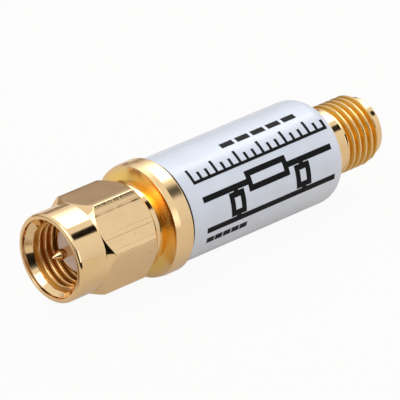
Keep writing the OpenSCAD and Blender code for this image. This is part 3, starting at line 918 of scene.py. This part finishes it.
class ATTENUATOR_OT_contacts(bpy.types.Operator):
    """Centre contacts: the pointed pin and the slotted socket, each with its fork on the card"""
    bl_idname = "attenuator.contacts"
    bl_label = "Centre contacts"

    def execute(self, context):
        sizes = settings().contact
        body, collar, pin = sizes.contact_d / 2, sizes.collar_d / 2, sizes.pin_d / 2
        fork = PIN_END - sizes.fork_l
        section = rounded([
            (PIN_START, 0, 0, 1),
            (PIN_START, sizes.point_d / 2, 0.03 * MM, 4),
            (PIN_START + sizes.point_l, pin, 0.05 * MM, 4),
            (PLUG_PLANE, pin, 0.03 * MM, 1),
            (PLUG_PLANE, body, 0.03 * MM, 6),
            (SPIGOT_END - sizes.collar_l, body, 0, 1),
            (SPIGOT_END - sizes.collar_l, collar, 0, 1),
            (SPIGOT_END, collar, 0, 1),
            (SPIGOT_END, body, 0, 2),
            (fork, body, 0, 1),
            (fork, 0, 0, 1),
        ], closed=False)
        pin_piece = lathe("plug_pin_gold", section, 64, closed=False)
        self.prongs(pin_piece, fork, PIN_END)
        settle(pin_piece, "body", "contact_gold", [GOLD], "plug_pin")

        slit_start = JACK_PLANE - sizes.slit_l
        hole_end = JACK_PLANE - sizes.socket_l
        fork_end = FORK_START + sizes.fork_l
        bore = sizes.socket_d / 2
        section = rounded([
            (fork_end, 0, 0, 1),
            (fork_end, body, 0, 2),
            (JACK_STEP, body, 0, 1),
            (JACK_STEP, collar, 0, 1),
            (JACK_STEP + sizes.collar_l, collar, 0, 1),
            (JACK_STEP + sizes.collar_l, body, 0, 4),
            (slit_start, body, 0, 1),
            (slit_start, bore, 0, 1),
            (hole_end, bore, 0, 1),
            (hole_end, 0, 0, 1),
        ], closed=False)
        socket = lathe("jack_contact_gold", section, 64, closed=False)
        self.prongs(socket, fork_end, FORK_START)
        self.fingers(socket, slit_start)
        settle(socket, "body", "contact_gold", [GOLD], "jack_contact")
        return {"FINISHED"}

    def sweep(self, obj, rings):
        """Adds a closed bar through rings of the same count of points to a piece."""
        work = bmesh.new()
        work.from_mesh(obj.data)
        made = [[work.verts.new(p) for p in ring] for ring in rings]
        faces = [work.faces.new(made[0]), work.faces.new(list(reversed(made[-1])))]
        for near, far in zip(made, made[1:]):
            for j in range(len(near)):
                k = (j + 1) % len(near)
                faces.append(work.faces.new((near[j], near[k], far[k], far[j])))
        bmesh.ops.recalc_face_normals(work, faces=faces)
        work.to_mesh(obj.data)
        work.free()

    def prongs(self, obj, root, end):
        """The two prongs of a fork, above and below the card."""
        sizes = settings().contact
        radius, low = sizes.contact_d / 2, sizes.card_t / 2
        start = math.asin(low / radius)
        angles = [start + (math.pi - 2 * start) * k / 16 for k in range(17)]
        for sign in (1, -1):
            ring = [(radius * math.cos(a), sign * radius * math.sin(a)) for a in angles]
            self.sweep(obj, [[(MOUTH_X + x, y, AXIS_Z + z) for y, z in ring] for x in (root, end)])

    def fingers(self, obj, root):
        """The four fingers of the socket, with a rounded lip at their ends."""
        sizes = settings().contact
        outer, inner = sizes.contact_d / 2, sizes.socket_d / 2
        lip = 0.05 * MM
        stations = ((root, 0), (JACK_PLANE - lip, 0), (JACK_PLANE - 0.3 * lip, 0.3 * lip), (JACK_PLANE, lip))
        for turn in range(4):
            middle = math.radians(90 * turn)
            rings = []
            for x, inset in stations:
                r_out, r_in = outer - inset, inner + 0.4 * inset
                out_half = math.radians(45) - math.asin(sizes.slit_w / 2 / r_out)
                in_half = math.radians(45) - math.asin(sizes.slit_w / 2 / r_in)
                ring = [(r_out, middle - out_half + 2 * out_half * k / 8) for k in range(9)]
                ring += [(r_in, middle + in_half - 2 * in_half * k / 8) for k in range(9)]
                rings.append([(MOUTH_X + x, r * math.cos(a), AXIS_Z + r * math.sin(a)) for r, a in ring])
            self.sweep(obj, rings)


class ATTENUATOR_OT_inner_parts(bpy.types.Operator):
    """Finishes of the parts inside: snap ring, card and clamp halves"""
    bl_idname = "attenuator.inner_parts"
    bl_label = "Inner parts"

    def execute(self, context):
        for name, finish in (("snap_ring", SPRING), ("card_clamp_top", SPRING), ("card_clamp_bottom", SPRING),
                             ("attenuator_card", ALUMINA)):
            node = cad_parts[name]
            node.data.materials.clear()
            node.data.materials.append(material(*finish))
        return {"FINISHED"}


# Tones of the stage: light, black flags, brown flags and the dusk behind the object
WHITE = linear("FFFFFF")
BLACK = linear("191816")
BROWN = linear("95816C")
DUSK = linear("AFA093")


class ATTENUATOR_OT_stage(bpy.types.Operator):
    """Pale floor, soft studio light and the camera"""
    bl_idname = "attenuator.stage"
    bl_label = "Stage"

    def execute(self, context):
        scene = context.scene
        scene.view_settings.view_transform = "Standard"
        self.floor()
        self.room(scene)
        self.card("softbox_card", self.aim(33, 45, 0.35), (0.36, 0.36), WHITE, (2.8, 0.9))
        self.card("lamp_card", self.aim(15, 51, 0.34), (0.12, 0.12), WHITE, (10, 3))
        self.card("front_lamp_card", self.aim(-166, 55, 0.3), (0.2, 0.2), WHITE, (4, 2.5), fill=False)
        self.card("fill_card", self.aim(-86, 14, 0.35), (0.24, 0.2), WHITE, (2, 1.2))
        self.card("dark_card", self.aim(-32, 44.5, 0.3), (0.095, 0.095), soft=0.15)
        self.card("low_flag_card", Vector((-27.5, -24, 3.6)) * MM, (45 * MM, 6.8 * MM), facing=(0, 1, 0))
        self.card("side_flag_card", Vector((-53.6, -47.9, 20)) * MM, (60 * MM, 44 * MM),
                  facing=(0.602, 0.799, 0), soft=0.4)
        self.card("mouth_flag_card", Vector((MOUTH_X - 10 * MM, 1 * MM, 0.6 * MM)), (14 * MM, 12 * MM), BROWN,
                  facing=(0, 0, 1), soft=0.4)
        self.card("throat_flag_card", Vector((MOUTH_X - 30 * MM, -5 * MM, 9 * MM)), (19 * MM, 18 * MM), BROWN,
                  facing=(1, 0, 0), soft=0.3)
        self.camera(scene)
        return {"FINISHED"}

    def floor(self):
        """Pale floor with the object's shadow, nearly white to the camera and duller in reflections."""
        floor = link_mesh("studio_floor", [(-4, -4, 0), (4, -4, 0), (4, 4, 0), (-4, 4, 0)], [(0, 1, 2, 3)])
        made, add = blank_material("Studio paper")
        paper = add("ShaderNodeBsdfDiffuse", {0: (*settings().finish.floor, 1)})
        white = add("ShaderNodeEmission", {0: (*WHITE, 1), 1: 1})
        path = add("ShaderNodeLightPath", out=None)
        share = 0
        for ray, part in (("Is Camera Ray", 0.94), ("Is Diffuse Ray", 0.05), ("Is Glossy Ray", 0.3),
                          ("Is Transmission Ray", 0.3)):
            share = add("ShaderNodeMath", {0: path[ray], 1: part, 2: share}, operation="MULTIPLY_ADD")
        mixed = add("ShaderNodeMixShader", {0: share, 1: paper, 2: white})
        add("ShaderNodeOutputMaterial", {0: mixed}, out=None)
        floor.data.materials.append(made)

    def room(self, scene):
        """A pale room, a little darker towards the horizon, with a brown dusk low down behind the object."""
        world = bpy.data.worlds.new("Pale studio room")
        world.use_nodes = True
        scene.world = world
        world.node_tree.nodes.clear()
        add = partial(add_node, world.node_tree)
        sky = add("ShaderNodeTexCoord", out="Generated")
        way = add("ShaderNodeSeparateXYZ", {0: sky}, out=None)
        rise = add("ShaderNodeMapRange", {0: way["Z"], 1: 0, 2: 0.7, 3: 0.79, 4: 0.92})
        low = add("ShaderNodeMapRange", {0: way["Z"], 1: 0.15, 2: 0.5, 3: 1, 4: 0})
        back = add("ShaderNodeMapRange", {0: way["Y"], 1: 0, 2: 0.7, 3: 0, 4: 1})
        dusk = add("ShaderNodeMath", {0: low, 1: back}, operation="MULTIPLY")
        tint = add("ShaderNodeMix", {0: dusk, 6: (*WHITE, 1), 7: (*DUSK, 1)}, out=2, data_type="RGBA")
        light = add("ShaderNodeBackground", {0: tint, 1: rise})
        add("ShaderNodeOutputWorld", {0: light}, out=None)

    def aim(self, azimuth, height, distance):
        """A point at an azimuth and height in degrees and a distance from the object."""
        turn, rise = math.radians(azimuth), math.radians(height)
        way = Vector((math.cos(rise) * math.cos(turn), math.cos(rise) * math.sin(turn), math.sin(rise)))
        return Vector((0, 0, AXIS_Z)) + way * distance

    def card(self, name, centre, size, tint=BLACK, glow=None, facing=None, soft=0.2, fill=True):
        """A studio card, turned to the object, not seen by the camera. It glows from its middle's strength
        to its edge's, or is a dark flag, seen only in reflections, that thins out over a soft share of its
        size."""
        turn = (Vector(facing) if facing else Vector((0, 0, AXIS_Z)) - centre).to_track_quat("Z", "Y")
        half = [(sx * size[0] / 2, sy * size[1] / 2) for sx, sy in ((-1, -1), (1, -1), (1, 1), (-1, 1))]
        obj = link_mesh(name, [centre + turn @ Vector((x, y, 0)) for x, y in half], [(0, 1, 2, 3)])
        made, add = blank_material("Studio " + name)
        spot = add("ShaderNodeTexCoord", out="Object")
        if glow:
            off = add("ShaderNodeVectorMath", {0: spot, 1: centre}, out="Value", operation="DISTANCE")
            strength = add("ShaderNodeMapRange", {0: off, 1: 0, 2: size[0] / 2, 3: glow[0], 4: glow[1]},
                           interpolation_type="SMOOTHSTEP")
            surface = add("ShaderNodeEmission", {0: (*tint, 1), 1: strength})
        else:
            dark = add("ShaderNodeBsdfDiffuse", {0: (*tint, 1)})
            clear = add("ShaderNodeBsdfTransparent")
            away = add("ShaderNodeVectorMath", {0: spot, 1: centre}, operation="SUBTRACT")
            sides = []
            for axis, width in (((1, 0, 0), size[0]), ((0, 1, 0), size[1])):
                scale = turn @ Vector(axis) * 2 / width
                reach = add("ShaderNodeVectorMath", {0: away, 1: scale}, out="Value", operation="DOT_PRODUCT")
                sides.append(add("ShaderNodeMath", {0: reach}, operation="ABSOLUTE"))
            edge = add("ShaderNodeMath", {0: sides[0], 1: sides[1]}, operation="MAXIMUM")
            fade = add("ShaderNodeMapRange", {0: edge, 1: 1 - soft, 2: 1})
            surface = add("ShaderNodeMixShader", {0: fade, 1: dark, 2: clear})
        add("ShaderNodeOutputMaterial", {0: surface}, out=None)
        obj.data.materials.append(made)
        obj.visible_camera = False
        obj.visible_shadow = False
        obj.visible_diffuse = bool(glow) and fill

    def camera(self, scene):
        """The photograph's long-lens view: place, direction and lens are fitted to its circles and edges."""
        data = bpy.data.cameras.new("photo_camera")
        data.sensor_width = 36
        data.lens = 463.5
        data.clip_end = 20
        camera = bpy.data.objects.new("photo_camera", data)
        scene.collection.objects.link(camera)
        camera.location = (MOUTH_X - 247.48 * MM, -286.07 * MM, AXIS_Z + 203.5 * MM)
        camera.rotation_euler = Vector((0.6016, 0.6504, -0.4638)).to_track_quat("-Z", "Y").to_euler()
        scene.camera = camera


class ATTENUATOR_PT_sidebar(bpy.types.Panel):
    """Lists the attenuator's pieces"""
    bl_idname = "ATTENUATOR_PT_sidebar"
    bl_label = "Attenuator"
    bl_space_type = "VIEW_3D"
    bl_region_type = "UI"
    bl_category = "Attenuator"

    def draw(self, context):
        for operator in OPERATORS:
            self.layout.operator(operator.bl_idname)


OPERATORS = (
    ATTENUATOR_OT_stage,
    ATTENUATOR_OT_coupling_nut,
    ATTENUATOR_OT_plug_shell,
    ATTENUATOR_OT_housing,
    ATTENUATOR_OT_sleeve,
    ATTENUATOR_OT_sleeve_print,
    ATTENUATOR_OT_insulators,
    ATTENUATOR_OT_contacts,
    ATTENUATOR_OT_inner_parts,
)
GROUPS = (NutSizes, ThreadSizes, ShellSizes, HousingSizes, ContactSizes, SleeveSizes, Finishes,
          AttenuatorSettings)
CLASSES = GROUPS + OPERATORS + (ATTENUATOR_PT_sidebar,)


def register():
    for item in CLASSES:
        bpy.utils.register_class(item)
    bpy.types.Scene.attenuator = PointerProperty(type=AttenuatorSettings)


def unregister():
    del bpy.types.Scene.attenuator
    for item in reversed(CLASSES):
        bpy.utils.unregister_class(item)


def main():
    register()
    for operator in OPERATORS:
        group, name = operator.bl_idname.split(".")
        getattr(getattr(bpy.ops, group), name)()


if __name__ == "__main__":
    main()
